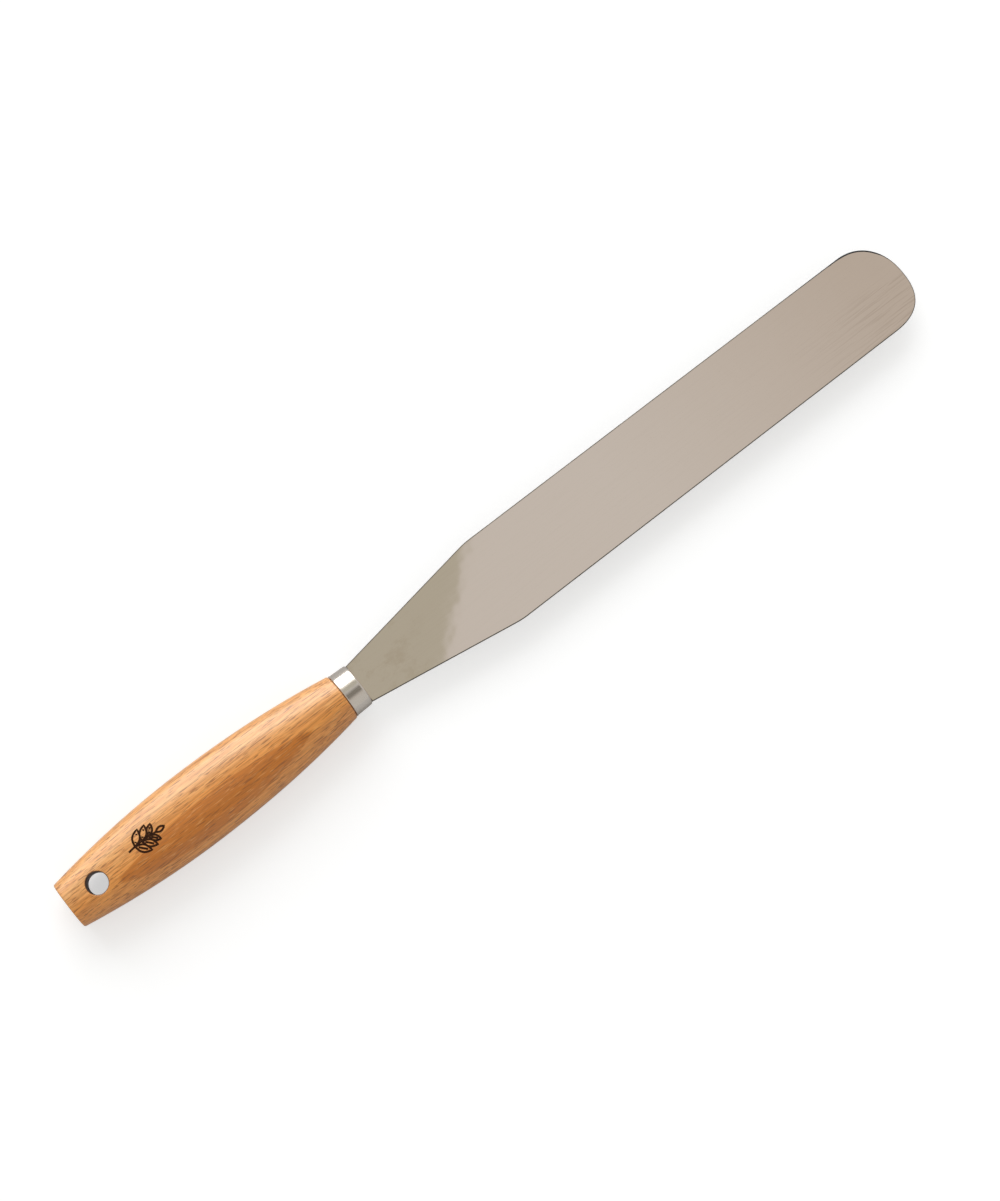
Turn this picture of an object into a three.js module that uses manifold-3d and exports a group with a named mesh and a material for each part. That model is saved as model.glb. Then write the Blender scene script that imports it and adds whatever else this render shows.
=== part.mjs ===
// Palette knife: a long springy steel blade on a turned beech handle.
//
// Units are millimetres. The knife lies level along X with its tip at +X, its broad faces
// look along Z, and its underside touches Z = 0 at the thickest part of the handle.
//
// Behind its shoulders the blade narrows to a tang. The tang passes through a slot in the
// front wall of the ferrule, a drawn metal cup that fits over a turned spigot on the handle,
// and is cemented into a bore in the wood. The visible blade and the tang are stored as two
// meshes, because the blade springs and the tang does not.

import * as THREE from 'three';
import { mergeVertices } from 'three/addons/utils/BufferGeometryUtils.js';
import Module from 'manifold-3d';

const wasm = await Module();
wasm.setup();

// ---------------------------------------------------------------- driving dimensions

const GAP = 0.3; // clearance left between pieces that touch
const AROUND = 48; // facets around a round piece
const FLAT = Math.cos(Math.PI / AROUND); // sine of the angle up to the middle facet's corners

const blade = {
  length: 254, // from the ferrule's front face to the tip
  width: 34.75,
  rootWidth: 15.7, // across the shoulders that butt on the ferrule
  flareLength: 60.8, // from the ferrule to the corner where the edges turn parallel
  cornerLength: 2.5, // how far the corner's rounding runs on each side of it
  rootThickness: 1.2,
  tipThickness: 0.8,
  tipPower: 2.35, // 2 is a semicircle, more is squarer
  tipSkew: -1.9, // how far the crown of the tip is ground off the centre line
  tipSteps: 14, // points on each side of the tip
};

const handle = {
  length: 119.3, // from the shoulder behind the ferrule to the butt
  frontWidth: 17.9,
  maxWidth: 27.75,
  buttWidth: 18,
  frontThickness: 17.9,
  maxThickness: 18.4,
  buttThickness: 15.4,
  widestAt: 63, // behind the shoulder
  frontPower: 2.15, // how the belly fades towards the shoulder
  buttPower: 1.95, // and towards the butt
  roundSection: 2, // superellipse power where the handle meets the ferrule
  bellySection: 2.3, // and from the belly to the butt, which is a little squarer
  edgeBreak: 0.4, // chamfer around both ends
  stations: 30, // lengthwise steps of the surface
};

const ferrule = {
  length: 7.5, // from the handle's shoulder to the front face
  rearRadius: 8.6,
  frontRadius: 8.4,
  beadRadius: 0.2, // rolled rim at the handle's side, inside the wood's outline
  cornerRadius: 0.9, // between the side and the front face
  wall: 0.7,
  frontWall: 0.8,
};

const tang = {
  length: 72,
  frontWidth: 6.4,
  rearWidth: 4,
  thickness: 1.2,
};

const bore = { radius: 4.8, depth: 76 }; // for the tang and its cement
const hangHole = { radius: 4, fromButt: 12.6 };

// ---------------------------------------------------------------- places that follow

const overallLength = handle.length + ferrule.length + blade.length;
const buttX = -overallLength / 2;
const tipX = overallLength / 2;
const shoulderX = buttX + handle.length;
const ferruleFrontX = shoulderX + ferrule.length;
const bladeRootX = ferruleFrontX + GAP;
const axisZ = handle.maxThickness / 2;
const spigotRadius = ferrule.frontRadius - ferrule.wall - GAP;
const spigotFrontX = ferruleFrontX - ferrule.frontWall - GAP;
const boreEndX = spigotFrontX - bore.depth;

// ---------------------------------------------------------------- materials

const materials = {
  beech: new THREE.MeshStandardMaterial({ color: 0xd9a06c, roughness: 0.5, metalness: 0 }),
  steel: new THREE.MeshStandardMaterial({ color: 0xc4baad, roughness: 0.3, metalness: 1 }),
  aluminium: new THREE.MeshStandardMaterial({ color: 0xc8c2bc, roughness: 0.35, metalness: 1 }),
  cement: new THREE.MeshStandardMaterial({ color: 0xb9a06a, roughness: 0.6, metalness: 0 }),
};

// ---------------------------------------------------------------- solids

/** The closed solid that a geometry bounds. */
function solidOf(geometry) {
  const bare = geometry.clone();
  bare.deleteAttribute('normal');
  bare.deleteAttribute('uv');
  const merged = mergeVertices(bare, 1e-4);
  return new wasm.Manifold(new wasm.Mesh({
    numProp: 3,
    vertProperties: new Float32Array(merged.attributes.position.array),
    triVerts: new Uint32Array(merged.index.array),
  }));
}

/** The geometry of a solid's surface. */
function geometryOf(solid) {
  const { vertProperties, triVerts } = solid.getMesh();
  const geometry = new THREE.BufferGeometry();
  geometry.setAttribute('position', new THREE.BufferAttribute(new Float32Array(vertProperties), 3));
  geometry.setIndex(new THREE.BufferAttribute(new Uint32Array(triVerts), 1));
  geometry.computeVertexNormals();
  return geometry;
}

/** A round bar along X between two stations on the knife's axis. */
function barAlongX(radius, fromX, toX) {
  const geometry = new THREE.CylinderGeometry(radius, radius, toX - fromX, AROUND);
  geometry.rotateZ(-Math.PI / 2);
  geometry.translate((fromX + toX) / 2, 0, axisZ);
  return solidOf(geometry);
}

/** A flat bar on the knife's axis, whose width may change evenly from one end to the other. */
function flatBar(fromX, fromWidth, toX, toWidth, thickness) {
  const outline = new THREE.Shape([
    new THREE.Vector2(fromX, -fromWidth / 2),
    new THREE.Vector2(toX, -toWidth / 2),
    new THREE.Vector2(toX, toWidth / 2),
    new THREE.Vector2(fromX, fromWidth / 2),
  ]);
  const geometry = new THREE.ExtrudeGeometry(outline, { depth: thickness, bevelEnabled: false });
  geometry.translate(0, 0, axisZ - thickness / 2);
  return geometry;
}

// ---------------------------------------------------------------- blade

/** A point of the tip's outline, along and across the blade, in shares of half its width. */
function tipPoint(angle) {
  const power = 2 / blade.tipPower;
  return {
    along: Math.abs(Math.sin(angle)) ** power,
    across: Math.sign(Math.cos(angle)) * Math.abs(Math.cos(angle)) ** power,
  };
}

/** The blade's outline: shoulders, flare, parallel edges and a rounded, slightly skewed tip. */
function bladeOutline() {
  const half = blade.width / 2;
  const halfRoot = blade.rootWidth / 2;
  const cornerX = ferruleFrontX + blade.flareLength;
  const slope = (half - halfRoot) / (cornerX - bladeRootX);
  const cornerStart = { x: cornerX - blade.cornerLength, y: half - blade.cornerLength * slope };
  const cornerEndX = cornerX + blade.cornerLength;

  const outline = new THREE.Shape();
  outline.moveTo(bladeRootX, -halfRoot);
  outline.lineTo(cornerStart.x, -cornerStart.y);
  outline.quadraticCurveTo(cornerX, -half, cornerEndX, -half);
  const steps = 2 * blade.tipSteps;
  for (let i = 0; i <= steps; i += 1) {
    const { along, across } = tipPoint((i / steps) * Math.PI);
    outline.lineTo(tipX - half + half * along, -half * across + blade.tipSkew * along ** 2);
  }
  outline.lineTo(cornerEndX, half);
  outline.quadraticCurveTo(cornerX, half, cornerStart.x, cornerStart.y);
  outline.lineTo(bladeRootX, halfRoot);
  outline.closePath();
  return outline;
}

/** The blade, ground evenly thinner from its root to its tip. */
function bladeGeometry() {
  const geometry = new THREE.ExtrudeGeometry(bladeOutline(), {
    depth: 1,
    bevelEnabled: false,
    curveSegments: 6,
  });
  geometry.translate(0, 0, -0.5);
  const position = geometry.attributes.position;
  for (let i = 0; i < position.count; i += 1) {
    const share = (position.getX(i) - bladeRootX) / (tipX - bladeRootX);
    const thickness = THREE.MathUtils.lerp(blade.rootThickness, blade.tipThickness, share);
    position.setZ(i, axisZ + position.getZ(i) * thickness);
  }
  geometry.computeVertexNormals();
  return geometry;
}

// ---------------------------------------------------------------- tang and cement

function tangGeometry() {
  const rearX = ferruleFrontX - tang.length;
  return flatBar(rearX, tang.rearWidth, ferruleFrontX, tang.frontWidth, tang.thickness);
}

/** The clearance that the tang needs in the pieces around it. */
function tangSlot(toX) {
  const rearX = ferruleFrontX - tang.length - GAP;
  const width = tang.frontWidth + 2 * GAP;
  return solidOf(flatBar(rearX, width, toX, width, tang.thickness + 2 * GAP));
}

/** Cement that fills the bore around the tang. */
function cementGeometry() {
  const plug = barAlongX(bore.radius - GAP, boreEndX + GAP, spigotFrontX);
  return geometryOf(plug.subtract(tangSlot(ferruleFrontX)));
}

// ---------------------------------------------------------------- ferrule

/** A drawn cup with a rolled rear rim, a rounded front corner and a slot for the tang. */
function ferruleGeometry() {
  const rearX = shoulderX + GAP;
  const beadX = rearX + ferrule.beadRadius;
  const profile = new THREE.Path();
  profile.moveTo(0, ferruleFrontX - ferrule.frontWall);
  profile.lineTo(spigotRadius + GAP, ferruleFrontX - ferrule.frontWall);
  profile.lineTo(spigotRadius + GAP, rearX);
  profile.lineTo(ferrule.rearRadius - ferrule.beadRadius, rearX);
  profile.absarc(ferrule.rearRadius, beadX, ferrule.beadRadius, -Math.PI / 2, Math.PI / 2, false);
  profile.lineTo(ferrule.frontRadius, ferruleFrontX - ferrule.cornerRadius);
  profile.absarc(
    ferrule.frontRadius - ferrule.cornerRadius,
    ferruleFrontX - ferrule.cornerRadius,
    ferrule.cornerRadius,
    0,
    Math.PI / 2,
    false,
  );
  profile.lineTo(0, ferruleFrontX);
  const cup = new THREE.LatheGeometry(profile.getPoints(4), AROUND, Math.PI / AROUND);
  cup.rotateZ(-Math.PI / 2);
  cup.translate(0, 0, axisZ);
  return geometryOf(solidOf(cup).subtract(tangSlot(ferruleFrontX + 1)));
}

// ---------------------------------------------------------------- handle

/** A dimension that swells from its value at the shoulder to the belly and falls to the butt. */
function swell(behindShoulder, front, max, butt) {
  const ahead = behindShoulder < handle.widestAt;
  const reach = ahead ? handle.widestAt : handle.length - handle.widestAt;
  const away = Math.abs(behindShoulder - handle.widestAt) / reach;
  return ahead
    ? max - (max - front) * away ** handle.frontPower
    : max - (max - butt) * away ** handle.buttPower;
}

/**
 * One oval section of the handle as a ring of points, shrunk by an inset. Facets, not corners, lie
 * at its top, bottom and sides, at the section's full size, so the knife has a flat to lie on.
 */
function handleRing(behindShoulder, inset) {
  const halfWidth = swell(behindShoulder, handle.frontWidth, handle.maxWidth, handle.buttWidth) / 2;
  const halfThickness =
    swell(behindShoulder, handle.frontThickness, handle.maxThickness, handle.buttThickness) / 2;
  const toBelly = THREE.MathUtils.smoothstep(behindShoulder, 0, handle.widestAt);
  const power = 2 / THREE.MathUtils.lerp(handle.roundSection, handle.bellySection, toBelly);
  const ring = [];
  for (let i = 0; i < AROUND; i += 1) {
    const angle = ((i + 0.5) / AROUND) * 2 * Math.PI;
    const cos = Math.cos(angle) / FLAT;
    const sin = Math.sin(angle) / FLAT;
    ring.push(
      shoulderX - behindShoulder,
      (halfWidth - inset) * Math.sign(cos) * Math.abs(cos) ** power,
      axisZ + (halfThickness - inset) * Math.sign(sin) * Math.abs(sin) ** power,
    );
  }
  return ring;
}

/** The handle's turned and flattened body, closed by a flat face at each end. */
function handleBody() {
  const rings = [handleRing(0, handle.edgeBreak)];
  const span = handle.length - 2 * handle.edgeBreak;
  for (let i = 0; i <= handle.stations; i += 1) {
    rings.push(handleRing(handle.edgeBreak + (i / handle.stations) * span, 0));
  }
  rings.push(handleRing(handle.length, handle.edgeBreak));

  const vertices = rings.flat();
  const frontCentre = rings.length * AROUND;
  const buttCentre = frontCentre + 1;
  vertices.push(shoulderX, 0, axisZ, buttX, 0, axisZ);
  const lastRing = (rings.length - 1) * AROUND;
  const faces = [];
  for (let i = 0; i < AROUND; i += 1) {
    const next = (i + 1) % AROUND;
    faces.push(frontCentre, i, next);
    faces.push(buttCentre, lastRing + next, lastRing + i);
    for (let first = 0; first < lastRing; first += AROUND) {
      const second = first + AROUND;
      faces.push(first + i, second + i, second + next);
      faces.push(first + i, second + next, first + next);
    }
  }
  const geometry = new THREE.BufferGeometry();
  geometry.setAttribute('position', new THREE.Float32BufferAttribute(vertices, 3));
  geometry.setIndex(faces);
  return solidOf(geometry);
}

/** The hole that the knife hangs by, drilled through the flat of the handle. */
function hangHoleSolid() {
  const drill = new THREE.CylinderGeometry(
    hangHole.radius,
    hangHole.radius,
    2 * handle.maxThickness,
    AROUND,
  );
  drill.rotateX(Math.PI / 2);
  drill.translate(buttX + hangHole.fromButt, 0, axisZ);
  return solidOf(drill);
}

function handleGeometry() {
  const spigot = barAlongX(spigotRadius, shoulderX - 1, spigotFrontX);
  const tangBore = barAlongX(bore.radius, boreEndX, spigotFrontX + 1);
  return geometryOf(handleBody().add(spigot).subtract(tangBore).subtract(hangHoleSolid()));
}

// ---------------------------------------------------------------- the knife

function piece(name, geometry, material) {
  const mesh = new THREE.Mesh(geometry, material);
  mesh.name = name;
  return mesh;
}

const knife = new THREE.Group();
knife.add(
  piece('handle', handleGeometry(), materials.beech),
  piece('ferrule', ferruleGeometry(), materials.aluminium),
  piece('tang_cement', cementGeometry(), materials.cement),
  piece('tang', tangGeometry(), materials.steel),
  piece('blade', bladeGeometry(), materials.steel),
);

export default knife;
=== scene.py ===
"""The looks of the palette knife: a steel blade, a metal ferrule and a lacquered beech handle.

Lengths are in metres in the part's own frame: the knife lies along X with its tip at +X, its
broad faces look along Z, and the floor is at Z = 0.
"""

import math

import bmesh
import bpy
import numpy as np
from mathutils import Matrix, Vector


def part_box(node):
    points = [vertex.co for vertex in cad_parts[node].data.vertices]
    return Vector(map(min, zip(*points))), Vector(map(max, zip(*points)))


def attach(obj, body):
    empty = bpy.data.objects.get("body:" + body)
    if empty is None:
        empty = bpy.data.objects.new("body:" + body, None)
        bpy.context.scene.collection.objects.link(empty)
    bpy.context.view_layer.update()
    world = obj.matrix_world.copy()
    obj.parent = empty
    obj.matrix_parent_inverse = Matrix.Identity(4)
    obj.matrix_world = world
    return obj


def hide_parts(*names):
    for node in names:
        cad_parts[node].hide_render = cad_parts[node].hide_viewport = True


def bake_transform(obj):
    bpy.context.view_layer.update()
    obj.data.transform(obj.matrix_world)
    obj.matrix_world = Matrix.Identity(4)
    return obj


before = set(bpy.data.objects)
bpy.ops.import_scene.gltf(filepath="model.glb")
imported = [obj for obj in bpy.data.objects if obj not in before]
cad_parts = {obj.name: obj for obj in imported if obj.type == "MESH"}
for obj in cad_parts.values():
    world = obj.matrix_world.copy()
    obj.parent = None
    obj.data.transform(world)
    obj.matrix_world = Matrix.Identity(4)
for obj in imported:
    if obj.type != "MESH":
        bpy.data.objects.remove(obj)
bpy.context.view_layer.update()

MM = 0.001

# ------------------------------------------------------------------ places, from the frame

HANDLE_LOW, HANDLE_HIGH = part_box("handle")
FERRULE_LOW, FERRULE_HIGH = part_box("ferrule")
BLADE_LOW, BLADE_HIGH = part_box("blade")
TANG_LOW, TANG_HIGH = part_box("tang")
CEMENT_LOW, CEMENT_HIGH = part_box("tang_cement")

AXIS_Z = (HANDLE_LOW.z + HANDLE_HIGH.z) / 2
BUTT_X = HANDLE_LOW.x
SPIGOT_FRONT_X = HANDLE_HIGH.x
FERRULE_FRONT_X = FERRULE_HIGH.x
TIP_X = BLADE_HIGH.x
GAP = 0.3 * MM  # between the CAD pieces that touch
SHOULDER_X = FERRULE_LOW.x - GAP
HANDLE_LENGTH = SHOULDER_X - BUTT_X

# ------------------------------------------------------------------ shape

HANDLE_WIDTHS = (17.9 * MM, HANDLE_HIGH.y - HANDLE_LOW.y, 18.0 * MM)  # shoulder, belly, butt
HANDLE_THICKNESSES = (17.9 * MM, HANDLE_HIGH.z - HANDLE_LOW.z, 15.4 * MM)
WIDEST_AT = 63 * MM  # behind the shoulder
FADE_POWERS = (2.15, 1.95)  # how the belly fades towards the shoulder and the butt
SECTION_POWERS = (2.0, 2.3)  # superellipse power at the shoulder and from the belly on
BORE_RADIUS = (CEMENT_HIGH.y - CEMENT_LOW.y) / 2 + GAP
BORE_END_X = CEMENT_LOW.x - GAP
HANG_HOLE_RADIUS = 4 * MM
HANG_HOLE_X = BUTT_X + 12.6 * MM
HANG_HOLE_RIM = 0.55 * MM  # radius of the rounding between the hole and the handle's faces

BLADE_WIDTH = BLADE_HIGH.y - BLADE_LOW.y
BLADE_ROOT_WIDTH = 15.7 * MM
FLARE_LENGTH = 60.8 * MM
CORNER_LENGTH = 2.5 * MM
TIP_POWER = 2.35
TIP_SKEW = -1.9 * MM
ROOT_THICKNESS = BLADE_HIGH.z - BLADE_LOW.z
TIP_THICKNESS = 0.8 * MM
BLADE_EDGE = 0.35 * MM  # width and height of the rounding between the faces and the edge
FACE_UPRIGHT = 0.995  # least Z of a normal on the blade's faces; the rest is its dull edge

# The tip's upper corner is ground back: its edge, where a near-black reflection is painted, widens
# by this much over these places.
GROUND_DEPTH = 0.55 * MM
GROUND_FROM_X, GROUND_OVER_X = TIP_X - 22 * MM, 7 * MM
GROUND_FROM_Y, GROUND_OVER_Y = 6 * MM, 5 * MM

FERRULE_REAR_RADIUS = 8.6 * MM
FERRULE_FRONT_RADIUS = 8.4 * MM
FERRULE_BEAD = 0.2 * MM
FERRULE_CORNER = 0.9 * MM
FERRULE_WALL = 0.7 * MM
FERRULE_FRONT_WALL = 0.8 * MM
SPIGOT_RADIUS = FERRULE_FRONT_RADIUS - FERRULE_WALL - GAP
SPIGOT_CHAMFER = 0.3 * MM


# ------------------------------------------------------------------ mesh helpers

def new_object(name, vertices, faces):
    mesh = bpy.data.meshes.new(name)
    mesh.from_pydata([tuple(v) for v in vertices], [], faces)
    mesh.validate()
    made = bpy.data.objects.new(name, mesh)
    bpy.context.scene.collection.objects.link(made)
    return made


def shade_smooth(obj, sharp_above=math.radians(35)):
    """Smooth shading, with edges that turn by more than an angle kept sharp."""
    bm = bmesh.new()
    bm.from_mesh(obj.data)
    bmesh.ops.recalc_face_normals(bm, faces=bm.faces)
    for face in bm.faces:
        face.smooth = True
    for edge in bm.edges:
        edge.smooth = edge.calc_face_angle(0) < sharp_above
    bm.to_mesh(obj.data)
    bm.free()


def sharpen_between_materials(obj):
    """Keeps the shading of each material's faces to themselves."""
    bm = bmesh.new()
    bm.from_mesh(obj.data)
    for edge in bm.edges:
        if len({face.material_index for face in edge.link_faces}) > 1:
            edge.smooth = False
    bm.to_mesh(obj.data)
    bm.free()


def loft(name, rings):
    """A closed surface through rings of equally many points; a ring of one point closes an end."""
    vertices = []
    starts = []
    for ring in rings:
        starts.append(len(vertices))
        vertices.extend(ring)
    faces = []
    for first, second, a, b in zip(rings, rings[1:], starts, starts[1:]):
        around = max(len(first), len(second))
        for i in range(around):
            j = (i + 1) % around
            if len(first) == 1:
                faces.append((a, b + j, b + i))
            elif len(second) == 1:
                faces.append((a + i, a + j, b))
            else:
                faces.append((a + i, a + j, b + j, b + i))
    return new_object(name, vertices, faces)


def circle(x, radius, around):
    """A ring about the knife's axis."""
    turn = np.linspace(0, 2 * math.pi, around, endpoint=False)
    return [(x, radius * math.cos(a), AXIS_Z + radius * math.sin(a)) for a in turn]


def cut(obj, cutter):
    """Takes cutter's volume out of obj."""
    modifier = obj.modifiers.new("cut", "BOOLEAN")
    modifier.operation = "DIFFERENCE"
    modifier.solver = "EXACT"
    modifier.object = cutter
    graph = bpy.context.evaluated_depsgraph_get()
    result = bpy.data.meshes.new_from_object(obj.evaluated_get(graph))
    obj.modifiers.clear()
    obj.data = result
    bpy.data.objects.remove(cutter)


def arc_steps(count):
    """Angles from 0 to a quarter turn."""
    return [math.pi / 2 * i / count for i in range(count + 1)]


def unit(value):
    """A number kept between 0 and 1."""
    return min(max(value, 0), 1)


def paint(obj, material):
    """Gives the whole of an object one material."""
    obj.data.materials.clear()
    obj.data.materials.append(material)


# ------------------------------------------------------------------ node helpers

class Nodes:
    """A node tree under construction, with short calls for the nodes used here."""

    def __init__(self, tree):
        self.tree = tree

    def link(self, source, target):
        self.tree.links.new(source, target)

    def put(self, value, socket):
        """Sets a socket to a number, vector or colour, or links another socket to it."""
        if isinstance(value, (int, float)):
            socket.default_value = value
        elif isinstance(value, tuple):
            socket.default_value = (*value, 1) if socket.type == "RGBA" else value
        else:
            self.link(value, socket)

    def node(self, kind, **settings):
        made = self.tree.nodes.new(kind)
        for key, value in settings.items():
            setattr(made, key, value)
        return made

    def coordinates(self, scale=(1, 1, 1), offset=(0, 0, 0), output="Object"):
        """The piece's own coordinates, in metres, scaled along each axis."""
        mapping = self.node("ShaderNodeMapping")
        self.link(self.node("ShaderNodeTexCoord").outputs[output], mapping.inputs["Vector"])
        self.put(scale, mapping.inputs["Scale"])
        self.put(offset, mapping.inputs["Location"])
        return mapping.outputs["Vector"]

    def split(self, vector):
        """The X, Y and Z of a vector, by name."""
        made = self.node("ShaderNodeSeparateXYZ")
        self.link(vector, made.inputs[0])
        return made.outputs

    def noise(self, vector, scale=1.0, detail=3.0, roughness=0.5):
        made = self.node("ShaderNodeTexNoise")
        self.put(vector, made.inputs["Vector"])
        self.put(scale, made.inputs["Scale"])
        self.put(detail, made.inputs["Detail"])
        self.put(roughness, made.inputs["Roughness"])
        return made.outputs["Fac"]

    def noise_along(self, value, scale, detail=2.0):
        """Noise that changes with one number."""
        made = self.node("ShaderNodeTexNoise", noise_dimensions="1D")
        self.put(value, made.inputs["W"])
        self.put(scale, made.inputs["Scale"])
        self.put(detail, made.inputs["Detail"])
        return made.outputs["Fac"]

    def ramp(self, value, *stops):
        """A colour ramp through (position, grey or colour) stops."""
        made = self.node("ShaderNodeValToRGB")
        elements = made.color_ramp.elements
        while len(elements) < len(stops):
            elements.new(0.5)
        for element, (position, colour) in zip(elements, stops):
            rgb = colour if isinstance(colour, tuple) else (colour, colour, colour)
            element.position = position
            element.color = (*rgb, 1)
        self.put(value, made.inputs["Fac"])
        return made.outputs["Color"]

    def math(self, operation, a, b=0.0):
        made = self.node("ShaderNodeMath", operation=operation)
        self.put(a, made.inputs[0])
        self.put(b, made.inputs[1])
        return made.outputs[0]

    def dot(self, vector, direction):
        made = self.node("ShaderNodeVectorMath", operation="DOT_PRODUCT")
        self.put(vector, made.inputs[0])
        self.put(tuple(direction), made.inputs[1])
        return made.outputs["Value"]

    def step(self, value, zero_at, one_at):
        """0 at one value and beyond it, 1 at another and beyond that, and smooth between."""
        rising = zero_at < one_at
        made = self.node("ShaderNodeMapRange", interpolation_type="SMOOTHSTEP")
        self.put(value, made.inputs["Value"])
        self.put(min(zero_at, one_at), made.inputs["From Min"])
        self.put(max(zero_at, one_at), made.inputs["From Max"])
        self.put(0.0 if rising else 1.0, made.inputs["To Min"])
        self.put(1.0 if rising else 0.0, made.inputs["To Max"])
        return made.outputs["Result"]

    def mix(self, factor, a, b, blend="MIX"):
        made = self.node("ShaderNodeMix", data_type="RGBA", blend_type=blend)
        self.put(factor, made.inputs[0])
        self.put(a, made.inputs[6])
        self.put(b, made.inputs[7])
        return made.outputs[2]


class Material(Nodes):
    """A material with one Principled shader, whose constants are given by socket name."""

    def __init__(self, name, **constants):
        self.material = bpy.data.materials.new(name)
        self.material.use_nodes = True
        super().__init__(self.material.node_tree)
        self.shader = self.tree.nodes["Principled BSDF"]
        for socket, value in constants.items():
            self.put(value, self.shader.inputs[socket.replace("_", " ")])

    def into(self, socket, source):
        self.link(source, self.shader.inputs[socket])

    def bump(self, height, strength, distance):
        """Adds a bump on top of those already there; distance is in metres."""
        made = self.node("ShaderNodeBump")
        self.put(strength, made.inputs["Strength"])
        self.put(distance, made.inputs["Distance"])
        self.link(height, made.inputs["Height"])
        for link in list(self.shader.inputs["Normal"].links):
            self.link(link.from_socket, made.inputs["Normal"])
        self.into("Normal", made.outputs["Normal"])


# ------------------------------------------------------------------ beech

# The growth layers are nearly flat and level, so the crowned face cuts them in long ovals. A
# point's layer is its height above the knife's axis in millimetres, leaned and bent by these.
FIGURE_X = -122 * MM
LAYER_LEAN_Y = -0.24
LAYER_LEAN_X = -0.0069
LAYER_BEND = -0.257  # per metre
LAYER_WAVES = 1.3  # millimetres
HEART_LAYER = 9.0  # the darker wood starts at this layer
PALE_WOOD = (0.88, 0.475, 0.180)
# Tan wood, also used as the painted shade of the handle's -Y half.
TAN_AND_SHADED_WOOD = (0.87, 0.335, 0.056)
HEART_WOOD = (0.61, 0.185, 0.010)
# Painted shade for the hanging hole's wall.
PAINTED_HOLE_SHADE = (0.15, 0.050, 0.012)
STREAK_WOOD = (0.44, 0.135, 0.016)
FLECK_WOOD = (0.96, 0.55, 0.20)
PORE_WOOD = (0.30, 0.085, 0.008)


def growth_layer(wood):
    """Which growth layer a point of the wood lies in, in millimetres."""
    place = wood.split(wood.coordinates())
    along = wood.math("SUBTRACT", place["X"], FIGURE_X)
    bend = wood.math("MULTIPLY", wood.math("MULTIPLY", along, along), LAYER_BEND)
    layer = wood.math("SUBTRACT", place["Z"], AXIS_Z)
    layer = wood.math("ADD", layer, wood.math("MULTIPLY", place["Y"], LAYER_LEAN_Y))
    layer = wood.math("ADD", layer, wood.math("MULTIPLY", along, LAYER_LEAN_X))
    layer = wood.math("MULTIPLY", wood.math("ADD", layer, bend), 1 / MM)
    waves = wood.math("SUBTRACT", wood.noise(wood.coordinates((14, 90, 90))), 0.5)
    return wood.math("ADD", layer, wood.math("MULTIPLY", waves, LAYER_WAVES))


def in_hanging_hole(wood):
    """1 on the wall of the hanging hole, where its shade is painted, falling to 0 over its rounded
    rims.
    """
    place = wood.split(wood.coordinates())
    along = wood.math("SUBTRACT", place["X"], HANG_HOLE_X)
    square = wood.math("MULTIPLY", along, along)
    square = wood.math("ADD", square, wood.math("MULTIPLY", place["Y"], place["Y"]))
    distance = wood.math("POWER", square, 0.5)
    return wood.step(distance, HANG_HOLE_RADIUS + 0.35 * MM, HANG_HOLE_RADIUS + 0.1 * MM)


def beech():
    """Lacquered beech: oval growth figure, soft streaks, pale flecks and dark pores, with a tan -Y
    half that is partly painted shade, and painted shade on the hanging hole's wall.
    """
    wood = Material("beech", Roughness=0.42, Coat_Weight=1.0, Coat_Roughness=0.30)
    layer = growth_layer(wood)
    bands = wood.ramp(wood.noise_along(layer, 0.9), (0.38, 0.0), (0.62, 0.6))
    inner = wood.step(layer, HEART_LAYER - 2.2, HEART_LAYER - 0.2)
    # Painted light and shade across the handle: the -Y half, away from the window, is made tan and
    # the +Y half is left pale. This is partly the wood's own tone and partly painted shade below
    # with painted sheen above.
    lower = wood.step(wood.split(wood.coordinates())["Y"], 3 * MM, -3 * MM)
    tan = wood.math("MULTIPLY", wood.math("MAXIMUM", inner, lower), 0.9)
    tone = wood.mix(wood.math("MAXIMUM", bands, tan), PALE_WOOD, TAN_AND_SHADED_WOOD)
    heart = wood.math("MULTIPLY", wood.step(layer, HEART_LAYER - 0.09, HEART_LAYER + 0.06), 0.95)
    tone = wood.mix(heart, tone, HEART_WOOD)
    streaks = wood.noise(wood.coordinates((30, 1500, 1500), (3, 1, 2)), detail=4, roughness=0.65)
    tone = wood.mix(wood.ramp(streaks, (0.36, 0.6), (0.58, 0.0)), tone, STREAK_WOOD)
    flecks = wood.noise(wood.coordinates((200, 2100, 2100), (1, 8, 4)), detail=2)
    tone = wood.mix(wood.ramp(flecks, (0.58, 0.0), (0.68, 0.35)), tone, FLECK_WOOD)
    pores = wood.noise(wood.coordinates((170, 2500, 2500), (7, 5, 9)), detail=2)
    facing = wood.split(wood.coordinates(output="Normal"))
    long_grain = wood.step(wood.math("ABSOLUTE", facing["X"]), 1.2, 0.5)  # faint on end grain
    holes = wood.math("MULTIPLY", wood.ramp(pores, (0.56, 0.0), (0.64, 0.8)), long_grain)
    tone = wood.mix(holes, tone, PORE_WOOD)
    # Painted shade: the hanging hole's wall is made a near-black brown, standing for the shade
    # inside the hole.
    tone = wood.mix(in_hanging_hole(wood), tone, PAINTED_HOLE_SHADE)
    wood.into("Base Color", tone)
    wood.bump(streaks, 0.2, 0.05 * MM)
    wood.bump(pores, -0.25, 0.07 * MM)
    return wood.material


def burnt():
    """Scorched lines of the burnt mark."""
    mark = Material("burnt_wood", Roughness=0.8, Specular_IOR_Level=0.1)
    depth = mark.noise(mark.coordinates((1500, 1500, 1500)), detail=3)
    charred, scorched = (0.016, 0.006, 0.003), (0.060, 0.022, 0.008)
    mark.into("Base Color", mark.ramp(depth, (0.3, charred), (0.7, scorched)))
    return mark.material


# ------------------------------------------------------------------ handle

AROUND = 160
HOLE_AROUND = 96
STATIONS = 220
EDGE_BREAK = 0.4 * MM


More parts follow.
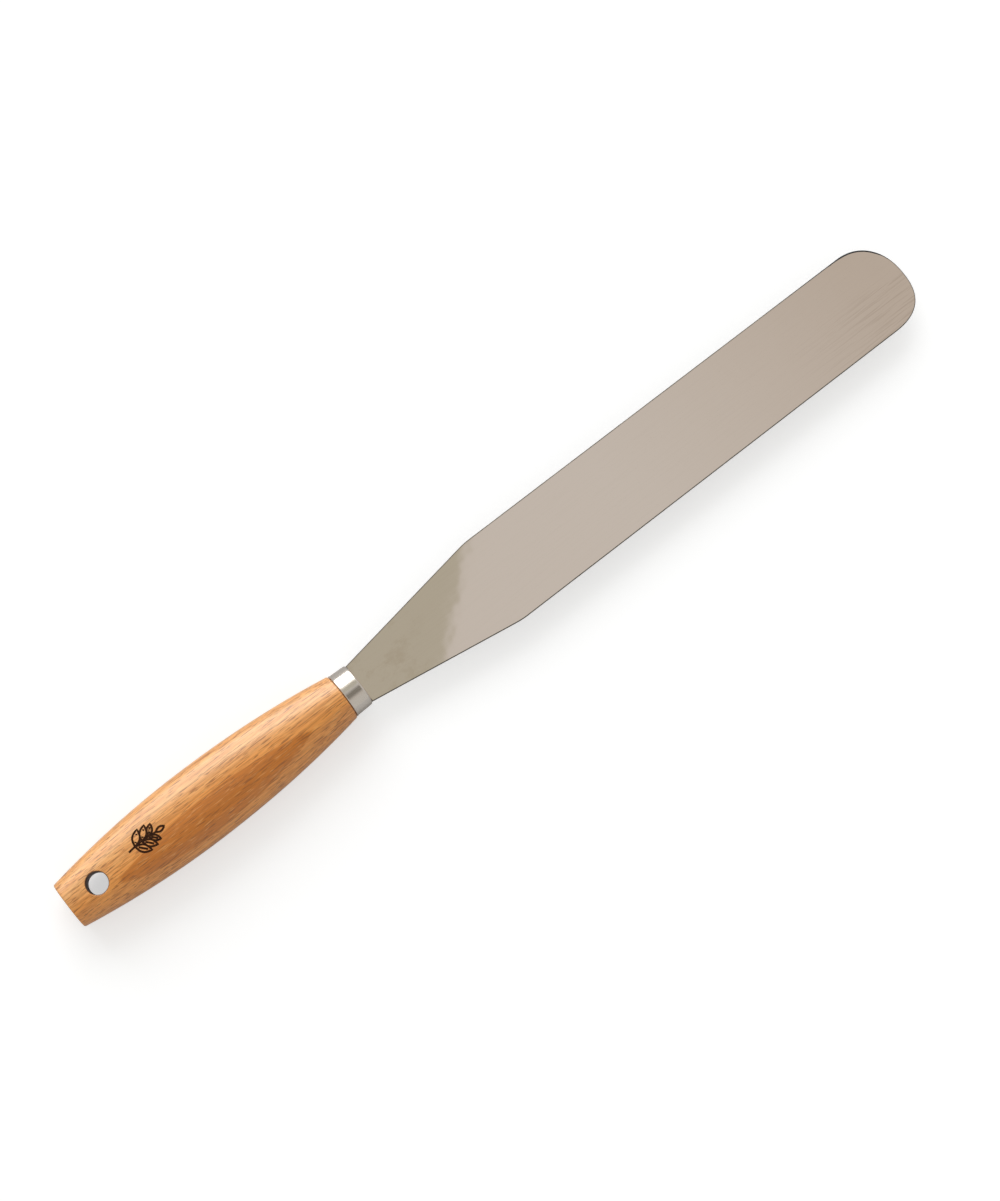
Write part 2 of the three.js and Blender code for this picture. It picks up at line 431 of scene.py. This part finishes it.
def swell(behind_shoulder, sizes):
    """A dimension that grows from its value at the shoulder to the belly and falls to the butt."""
    front, belly, butt = sizes
    if behind_shoulder < WIDEST_AT:
        away = 1 - behind_shoulder / WIDEST_AT
        return belly - (belly - front) * away ** FADE_POWERS[0]
    away = (behind_shoulder - WIDEST_AT) / (HANDLE_LENGTH - WIDEST_AT)
    return belly - (belly - butt) * away ** FADE_POWERS[1]


def handle_section(x):
    """Half width, half thickness and superellipse power of the handle at a station."""
    behind = min(max(SHOULDER_X - x, 0), HANDLE_LENGTH)
    share = min(behind / WIDEST_AT, 1)
    smooth = share * share * (3 - 2 * share)
    power = SECTION_POWERS[0] + (SECTION_POWERS[1] - SECTION_POWERS[0]) * smooth
    return swell(behind, HANDLE_WIDTHS) / 2, swell(behind, HANDLE_THICKNESSES) / 2, power


def handle_top(x, y):
    """Height of the handle's upper surface above its axis."""
    half_width, half_thickness, power = handle_section(x)
    share = min(abs(y) / half_width, 1)
    return half_thickness * (1 - share**power) ** (1 / power)


def handle_ring(x, inset=0.0):
    """A ring of the handle's section at a station, moved inwards by an inset."""
    half_width, half_thickness, power = handle_section(x)
    ring = []
    for a in np.linspace(0, 2 * math.pi, AROUND, endpoint=False):
        c, s = math.cos(a), math.sin(a)
        y = (half_width - inset) * math.copysign(abs(c) ** (2 / power), c)
        z = (half_thickness - inset) * math.copysign(abs(s) ** (2 / power), s)
        ring.append((x, y, AXIS_Z + z))
    return ring


def broken_edge(end_x, inward):
    """Rings of a small rounded edge between a flat end and the handle's side."""
    rings = []
    for a in arc_steps(4):
        inset = EDGE_BREAK * (1 - math.sin(a))
        rings.append(handle_ring(end_x + inward * EDGE_BREAK * (1 - math.cos(a)), inset))
    return rings


def hole_drill():
    """The hanging hole's cutter: a bore whose mouths round over into the crowned faces."""
    turn = np.linspace(0, 2 * math.pi, HOLE_AROUND, endpoint=False)
    profile = []  # (radius, height above the handle's face)
    for a in arc_steps(6):
        radius = HANG_HOLE_RADIUS + HANG_HOLE_RIM * (1 - math.cos(a))
        profile.append((radius, -HANG_HOLE_RIM * (1 - math.sin(a))))
    rim_radius = profile[-1][0]
    profile[-1] = (rim_radius, -0.02 * MM)  # just under the face, so that the two surfaces cross
    profile.append((rim_radius + 0.3 * MM, 0.25 * MM))
    profile.append((rim_radius + 0.3 * MM, 3 * MM))

    def ring(radius, offset, side):
        points = []
        for a in turn:
            x, y = HANG_HOLE_X + radius * math.cos(a), radius * math.sin(a)
            points.append((x, y, AXIS_Z + side * (handle_top(x, y) + offset)))
        return points

    lower = [ring(radius, offset, -1) for radius, offset in reversed(profile)]
    upper = [ring(radius, offset, 1) for radius, offset in profile]
    far = 4 * MM
    below = [(HANG_HOLE_X, 0, HANDLE_LOW.z - far)]
    above = [(HANG_HOLE_X, 0, HANDLE_HIGH.z + far)]
    return loft("drill", [below, *lower, *upper, above])


def make_handle(material):
    """The wood, from the bottom of its bore over the spigot and the shoulder to the butt."""
    rings = [[(BORE_END_X, 0, AXIS_Z)]]
    rings.append(circle(BORE_END_X, BORE_RADIUS, AROUND))
    rings.append(circle(SPIGOT_FRONT_X, BORE_RADIUS, AROUND))
    rings.append(circle(SPIGOT_FRONT_X, SPIGOT_RADIUS - SPIGOT_CHAMFER, AROUND))
    rings.append(circle(SPIGOT_FRONT_X - SPIGOT_CHAMFER, SPIGOT_RADIUS, AROUND))
    rings.append(circle(SHOULDER_X, SPIGOT_RADIUS, AROUND))
    rings.extend(broken_edge(SHOULDER_X, -1))
    inner = HANDLE_LENGTH - 2 * EDGE_BREAK
    for i in range(1, STATIONS):
        rings.append(handle_ring(SHOULDER_X - EDGE_BREAK - inner * i / STATIONS))
    rings.extend(reversed(broken_edge(BUTT_X, 1)))
    rings.append([(BUTT_X, 0, AXIS_Z)])
    handle = loft("handle_wood", rings)
    shade_smooth(handle)
    cut(handle, hole_drill())
    shade_smooth(handle)
    paint(handle, material)
    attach(handle, "handle")
    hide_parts("handle")


# ------------------------------------------------------------------ burnt mark

MARK_X = BUTT_X + 34 * MM
MARK_Y = 1.6 * MM
MARK_LINE = 0.75 * MM
MARK_LIFT, MARK_DEPTH = 0.025 * MM, 0.25 * MM  # above and below the wood's surface


def mark_strokes():
    """A plain leafy sprig in millimetres: a stem along the handle and pairs of veined leaves."""
    stem = [(-6.5 + 11.5 * i / 10, 0.5 * math.sin(i / 10 * math.pi)) for i in range(11)]
    strokes = [stem]
    for along, length in ((-3.6, 6.0), (-0.6, 5.6), (2.2, 4.4)):
        for side in (-1, 1):
            lean = side * math.radians(48)
            strokes.append(leaf(along, 0.3, length, lean, side))
            vein = (0.2 * length, 0.75 * length)
            strokes.append([(along + r * math.cos(lean), 0.3 + r * math.sin(lean)) for r in vein])
    strokes.append(leaf(5.0, 0.0, 3.6, 0, 1))
    return strokes


def leaf(x, y, length, lean, side):
    """A leaf's outline as a closed line from its foot and back."""
    points = []
    for i in range(21):
        share = i / 20
        along = length * (1 - abs(2 * share - 1))
        bulge = 0.22 * length * math.sin(2 * math.pi * share) * side
        points.append((
            x + along * math.cos(lean) - bulge * math.sin(lean),
            y + along * math.sin(lean) + bulge * math.cos(lean),
        ))
    return points


def make_mark(material):
    """Each stroke as a thin ribbon of scorched wood that follows the crowned face."""
    vertices, faces = [], []
    for stroke in mark_strokes():
        line = [Vector((MARK_X + x * MM, MARK_Y + y * MM, 0)) for x, y in stroke]
        first = len(vertices)
        for i, point in enumerate(line):
            ahead = (line[min(i + 1, len(line) - 1)] - line[max(i - 1, 0)]).normalized()
            side = Vector((-ahead.y, ahead.x, 0)) * MARK_LINE / 2
            for lift in (MARK_LIFT, -MARK_DEPTH):
                for edge in (point - side, point + side):
                    height = handle_top(edge.x, edge.y) + lift
                    vertices.append((edge.x, edge.y, AXIS_Z + height))
        for i in range(len(line) - 1):
            a, b = first + 4 * i, first + 4 * (i + 1)
            for j, k in ((0, 1), (1, 3), (3, 2), (2, 0)):
                faces.append((a + j, a + k, b + k, b + j))
        last = first + 4 * (len(line) - 1)
        faces.append((first, first + 2, first + 3, first + 1))
        faces.append((last, last + 1, last + 3, last + 2))
    mark = new_object("burnt_mark", vertices, faces)
    shade_smooth(mark)
    paint(mark, material)
    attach(mark, "handle")


# ------------------------------------------------------------------ ferrule

def satin_metal():
    """Drawn and lightly polished ferrule metal, with faint streaks along it."""
    metal = Material("ferrule_metal", Base_Color=(0.78, 0.715, 0.65), Metallic=1.0)
    streaks = metal.noise(metal.coordinates((120, 1800, 1800)), detail=4)
    metal.into("Roughness", metal.ramp(streaks, (0.3, 0.16), (0.7, 0.24)))
    metal.bump(streaks, 0.1, 0.02 * MM)
    return metal.material


def ferrule_profile():
    """Points (x, radius) of the cup's section, from the axis inside to the axis in front."""
    rear = FERRULE_LOW.x
    inner_front = FERRULE_FRONT_X - FERRULE_FRONT_WALL
    inner_radius = FERRULE_FRONT_RADIUS - FERRULE_WALL
    neck_x = rear + 2.4 * FERRULE_BEAD
    corner_x = FERRULE_FRONT_X - FERRULE_CORNER
    profile = [(inner_front, 0), (inner_front, inner_radius), (rear, inner_radius)]
    for a in arc_steps(10):
        x = rear + FERRULE_BEAD * (1 - math.cos(2 * a))
        profile.append((x, FERRULE_REAR_RADIUS + FERRULE_BEAD * math.sin(2 * a)))
    for share in np.linspace(0, 1, 10):
        radius = FERRULE_REAR_RADIUS + (FERRULE_FRONT_RADIUS - FERRULE_REAR_RADIUS) * share
        profile.append((neck_x + (corner_x - neck_x) * share, radius))
    for a in arc_steps(8)[1:]:
        radius = FERRULE_FRONT_RADIUS - FERRULE_CORNER * (1 - math.cos(a))
        profile.append((corner_x + FERRULE_CORNER * math.sin(a), radius))
    profile.append((FERRULE_FRONT_X, FERRULE_FRONT_RADIUS * 0.6))
    profile.append((FERRULE_FRONT_X, 0))
    return profile


def tang_slot():
    """The cutter for the slot in the ferrule's front wall."""
    half_width = (TANG_HIGH.y - TANG_LOW.y) / 2 + GAP
    half_height = (TANG_HIGH.z - TANG_LOW.z) / 2 + GAP
    ends = (FERRULE_FRONT_X - 2 * MM, FERRULE_FRONT_X + 1 * MM)
    corners = ((1, 1), (-1, 1), (-1, -1), (1, -1))
    rings = [[(x, y * half_width, AXIS_Z + z * half_height) for y, z in corners] for x in ends]
    slot = loft("slot", [[(ends[0], 0, AXIS_Z)], *rings, [(ends[1], 0, AXIS_Z)]])
    shade_smooth(slot)
    return slot


def make_ferrule(material):
    """The cup, with the slot that the tang passes through."""
    rings = [circle(x, r, 192) if r else [(x, 0, AXIS_Z)] for x, r in ferrule_profile()]
    ferrule = loft("ferrule_cup", rings)
    shade_smooth(ferrule)
    cut(ferrule, tang_slot())
    shade_smooth(ferrule)
    paint(ferrule, material)
    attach(ferrule, "handle")
    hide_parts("ferrule")


# ------------------------------------------------------------------ blade

BRIGHT_STEEL = (0.80, 0.70, 0.61)
STAINED_STEEL = (0.62, 0.505, 0.39)
SCRATCHED_STEEL = (0.55, 0.46, 0.38)
EDGE_STEEL = ((0.09, 0.075, 0.060), (0.16, 0.135, 0.110))
# A near-black painted reflection on the edge at the tip's upper corner.
PAINTED_CORNER_REFLECTION = (0.012, 0.012, 0.014)


def blade_steel():
    """Polished spring steel: slightly wavy, finely scratched at the tip and stained at the root."""
    steel = Material("blade_steel", Metallic=1.0)
    place = steel.split(steel.coordinates(output="UV"))
    near_root = steel.step(place["X"], FERRULE_FRONT_X + 42 * MM, FERRULE_FRONT_X + 8 * MM)
    near_tip = steel.step(place["X"], TIP_X - 60 * MM, TIP_X - 5 * MM)
    near_tip = steel.math("MULTIPLY", near_tip, steel.step(place["Y"], 3 * MM, -3 * MM))
    cloud = steel.coordinates((60, 90, 1), (0.4, 0.2, 0), output="UV")
    stains = steel.noise(cloud, detail=6, roughness=0.7)
    stained = steel.math("MULTIPLY", steel.step(stains, 0.48, 0.66), near_root)
    tone = steel.mix(steel.math("MULTIPLY", stained, 0.45), BRIGHT_STEEL, STAINED_STEEL)
    lengthwise = steel.coordinates((45, 1500, 1), output="UV")
    scratches = steel.noise(lengthwise, detail=4, roughness=0.6)
    worn = steel.math("ADD", steel.math("MULTIPLY", near_tip, 0.32), 0.03)
    worn = steel.math("MULTIPLY", steel.step(scratches, 0.52, 0.38), worn)
    steel.into("Base Color", steel.mix(worn, tone, SCRATCHED_STEEL))
    steel.into("Roughness", steel.ramp(scratches, (0.3, 0.022), (0.7, 0.032)))
    waves = steel.noise(steel.coordinates((75, 75, 1), output="UV"), detail=2)
    steel.bump(waves, 0.5, 0.03 * MM)
    return steel.material


def edge_steel():
    """The blade's cut edge: rough and dark all round, with a painted near-black reflection around
    the upper corner of the tip.
    """
    steel = Material("edge_steel", Metallic=0.4, Roughness=0.6)
    grain = steel.noise(steel.coordinates((60, 2500, 1), output="UV"), detail=4)
    tone = steel.ramp(grain, (0.3, EDGE_STEEL[0]), (0.7, EDGE_STEEL[1]))
    place = steel.split(steel.coordinates(output="UV"))
    at_tip = steel.step(place["X"], TIP_X - 60 * MM, TIP_X - 18 * MM)
    # Painted reflection: the edge around the tip's upper corner is made near black.
    corner_reflection = steel.math("MULTIPLY", at_tip, steel.step(place["Y"], 3 * MM, 8 * MM))
    steel.into("Base Color", steel.mix(corner_reflection, tone, PAINTED_CORNER_REFLECTION))
    return steel.material


FLARE_STEPS, CORNER_STEPS, PARALLEL_STEPS, TIP_STEPS = 60, 12, 130, 56
FACE_COLUMNS = 10  # across the blade's faces


def blade_stations():
    """Pairs of points, on the lower and the upper edge of the blade, from its root to its tip."""
    half, half_root = BLADE_WIDTH / 2, BLADE_ROOT_WIDTH / 2
    root_x = FERRULE_FRONT_X
    corner_x = FERRULE_FRONT_X + FLARE_LENGTH
    slope = (half - half_root) / FLARE_LENGTH
    stations = []
    for share in np.linspace(0, 1, FLARE_STEPS, endpoint=False):
        x = root_x + (FLARE_LENGTH - CORNER_LENGTH) * share
        stations.append((x, half_root + (x - root_x) * slope))
    for share in np.linspace(0, 1, CORNER_STEPS, endpoint=False):
        x = corner_x - CORNER_LENGTH + 2 * CORNER_LENGTH * share
        stations.append((x, half - CORNER_LENGTH * slope * (1 - share) ** 2))
    tip_start = TIP_X - half
    for x in np.linspace(corner_x + CORNER_LENGTH, tip_start, PARALLEL_STEPS, endpoint=False):
        stations.append((x, half))
    pairs = [((x, -y), (x, y)) for x, y in stations]
    for a in np.linspace(0, math.pi / 2, TIP_STEPS):
        along = math.sin(a) ** (2 / TIP_POWER)
        across = max(math.cos(a), 0) ** (2 / TIP_POWER)
        x, skew = tip_start + half * along, TIP_SKEW * along**2
        pairs.append(((x, skew - half * across), (x, skew + half * across)))
    return pairs


def edge_width(x, y):
    """How far the blade's edge reaches in from the outline: further at the tip's upper corner."""
    along = unit((x - GROUND_FROM_X) / GROUND_OVER_X)
    across = unit((y - GROUND_FROM_Y) / GROUND_OVER_Y)
    return BLADE_EDGE + GROUND_DEPTH * along * across


def inset_loop(loop, share):
    """A closed loop of plan points moved inwards by a share of the edge's width, corners kept."""
    points = np.array(loop)
    ahead = np.roll(points, -1, 0) - points
    ahead /= np.linalg.norm(ahead, axis=1)[:, None]
    normal = np.stack([-ahead[:, 1], ahead[:, 0]], 1)
    before = np.roll(normal, 1, 0)
    miter = (normal + before) / (1 + np.sum(normal * before, 1))[:, None]
    widths = np.array([edge_width(x, y) for x, y in loop])[:, None]
    return points + miter * share * widths


def blade_thickness(x):
    share = unit((x - BLADE_LOW.x) / (TIP_X - BLADE_LOW.x))
    return ROOT_THICKNESS + (TIP_THICKNESS - ROOT_THICKNESS) * share


def make_blade(face_material, edge_material):
    """Two gridded faces and the rounded edge between them, rings of one loop around the plan."""
    pairs = blade_stations()
    count = len(pairs)
    lower = [low for low, _ in pairs]
    upper = [high for _, high in pairs[:-1]]
    loop = lower + upper[::-1]
    around = len(loop)
    levels = [(1 - math.cos(a), 1 - math.sin(a)) for a in arc_steps(6)]

    vertices, faces = [], []
    for side in (1, -1):
        for inset, drop in levels:
            for x, y in inset_loop(loop, inset):
                height = blade_thickness(x) / 2 - BLADE_EDGE * drop
                vertices.append((x, y, AXIS_Z + side * height))
    rings = 2 * len(levels)

    def at(ring, i):
        return ring * around + i % around

    order = [*reversed(range(len(levels))), *range(len(levels), rings)]
    for a, b in zip(order, order[1:]):
        for i in range(around):
            faces.append((at(a, i), at(a, i + 1), at(b, i + 1), at(b, i)))

    for side, ring in ((1, len(levels) - 1), (-1, rings - 1)):
        rows = []
        for i in range(count - 1):
            low, high = at(ring, i), at(ring, around - 1 - i)
            row = [low]
            for column in range(1, FACE_COLUMNS):
                share = column / FACE_COLUMNS
                point = Vector(vertices[low]).lerp(Vector(vertices[high]), share)
                row.append(len(vertices))
                vertices.append(point)
            row.append(high)
            rows.append(row)
        tip = at(ring, count - 1)
        for row, after in zip(rows, rows[1:]):
            for j in range(FACE_COLUMNS):
                faces.append((row[j], row[j + 1], after[j + 1], after[j])[::-side])
        for j in range(FACE_COLUMNS):
            faces.append((rows[-1][j], rows[-1][j + 1], tip)[::-side])
    blade = new_object("blade_steel", vertices, faces)
    shade_smooth(blade, math.radians(60))
    uv = blade.data.uv_layers.new(name="plan")
    for corner in blade.data.loops:
        place = blade.data.vertices[corner.vertex_index].co
        uv.data[corner.index].uv = (place.x, place.y)
    blade.data.materials.append(face_material)
    blade.data.materials.append(edge_material)
    for polygon in blade.data.polygons:
        polygon.material_index = int(abs(polygon.normal.z) < FACE_UPRIGHT)
    sharpen_between_materials(blade)
    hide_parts("blade")
    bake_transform(blade)


# ------------------------------------------------------------------ hidden pieces

def cement_material():
    """Set epoxy cement, slightly grainy."""
    cement = Material("cement", Roughness=0.7)
    grain = cement.noise(cement.coordinates((900, 900, 900)), detail=4)
    dark, pale = (0.36, 0.27, 0.14), (0.52, 0.42, 0.25)
    cement.into("Base Color", cement.ramp(grain, (0.3, dark), (0.7, pale)))
    cement.bump(grain, 0.3, 0.1 * MM)
    return cement.material


def tang_material():
    """Unpolished steel, mottled with scale."""
    steel = Material("tang_steel", Metallic=1.0)
    scale = steel.noise(steel.coordinates((300, 900, 900)), detail=5)
    dark, pale = (0.30, 0.28, 0.26), (0.50, 0.46, 0.42)
    steel.into("Base Color", steel.ramp(scale, (0.3, dark), (0.7, pale)))
    steel.into("Roughness", steel.ramp(scale, (0.3, 0.35), (0.7, 0.6)))
    return steel.material


# ------------------------------------------------------------------ stage

WHITE = (1.0, 1.0, 1.0)
FLOOR_REACH = 6.0
FLOOR_LIFT = 0.55


def camera_rays(nodes):
    """1 on what the camera sees directly, 0 on what is seen in a reflection or lights something."""
    return nodes.node("ShaderNodeLightPath").outputs["Is Camera Ray"]


def make_floor():
    """Paper, lifted evenly so that it stays white in the picture but doesn't light the knife."""
    signs = ((-1, -1), (1, -1), (1, 1), (-1, 1))
    corners = [(x * FLOOR_REACH, y * FLOOR_REACH, 0) for x, y in signs]
    floor = new_object("floor", corners, [(0, 1, 2, 3)])
    paper = Material("white_paper", Base_Color=(0.57, 0.58, 0.60), Roughness=0.9)
    paper.put(WHITE, paper.shader.inputs["Emission Color"])
    paper.into("Emission Strength", paper.math("MULTIPLY", camera_rays(paper), FLOOR_LIFT))
    paint(floor, paper.material)


# Brightness of the room by direction. A cone is a centre and the angles, in degrees, where it is
# whole and where it has faded out.
OVERHEAD = (0.505, 0.500, 0.437)
ROOM_SIDE = (0.58, 0.575, 0.55)
PANEL = (0.665, 0.66, 0.655)
PANEL_FAR = (0.57, 0.535, 0.50)
PANEL_EDGE = Vector((0.665, -0.746, -0.048))  # square to the plane through the panel's edge
DARK_PATCH = ((0.20, 0.19, 0.165), Vector((0.085, -0.36, 1)), 4, 22)
WINDOW = ((3.9, 3.88, 3.82), Vector((0.28, 0.88, 0.42)), 16, 38)


def cone(room, direction, centre, whole, faded):
    """1 inside a cone of directions, falling smoothly to 0 outside it."""
    cosine = room.dot(direction, centre.normalized())
    return room.step(cosine, math.cos(math.radians(faded)), math.cos(math.radians(whole)))


def make_world():
    """A soft grey room that the knife mirrors, and plain white where the camera sees it.

    It has a big window low on the +Y side, an overhead panel on the side of the tip and of -Y,
    and a dark patch near the top, which the ferrule's crown mirrors.
    """
    world = bpy.data.worlds.new("studio")
    bpy.context.scene.world = world
    world.use_nodes = True
    room = Nodes(world.node_tree)
    direction = room.node("ShaderNodeTexCoord").outputs["Generated"]
    height = room.dot(direction, (0, 0, 1))
    light = room.ramp(height, (0.0, ROOM_SIDE), (0.70, ROOM_SIDE), (0.93, OVERHEAD))
    panel = room.ramp(height, (0.5, ROOM_SIDE), (0.935, PANEL_FAR), (0.972, PANEL))
    light = room.mix(room.step(room.dot(direction, PANEL_EDGE), -0.001, 0.003), light, panel)
    patch, centre, whole, faded = DARK_PATCH
    light = room.mix(cone(room, direction, centre, whole, faded), light, patch)
    glow, centre, whole, faded = WINDOW
    light = room.mix(cone(room, direction, centre, whole, faded), light, glow)
    light = room.mix(camera_rays(room), light, WHITE)
    room.link(light, world.node_tree.nodes["Background"].inputs["Color"])


# The camera looks down at the knife from over its handle.
LOOK_AT = Vector((FERRULE_FRONT_X + 58.55 * MM, -6.95 * MM, AXIS_Z))
CAMERA_DISTANCE = 0.865
TILT_TO_BUTT = math.radians(9)
TILT_TO_RIGHT = math.radians(3)
KNIFE_ON_SCREEN = math.radians(37.52)  # the knife's rise from left to right
LENS = 72.25


def make_camera():
    data = bpy.data.cameras.new("camera")
    data.lens = LENS
    data.sensor_width = 36
    data.clip_start = 0.01
    camera = bpy.data.objects.new("camera", data)
    bpy.context.scene.collection.objects.link(camera)
    bpy.context.scene.camera = camera
    back = Vector((-math.tan(TILT_TO_BUTT), -math.tan(TILT_TO_RIGHT), 1)).normalized()
    along = (Vector((1, 0, 0)) - back * back.x).normalized()
    across = back.cross(along)
    turn = KNIFE_ON_SCREEN
    up = math.sin(turn) * along + math.cos(turn) * across
    right = math.cos(turn) * along - math.sin(turn) * across
    camera.location = LOOK_AT + CAMERA_DISTANCE * back
    camera.rotation_mode = "QUATERNION"
    camera.rotation_quaternion = Matrix((right, up, back)).transposed().to_quaternion()


# ------------------------------------------------------------------ the scene

make_camera()
make_handle(beech())
make_mark(burnt())
make_ferrule(satin_metal())
make_blade(blade_steel(), edge_steel())
paint(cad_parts["tang_cement"], cement_material())
paint(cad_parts["tang"], tang_material())
make_floor()
make_world()
bpy.context.scene.view_settings.view_transform = "Standard"
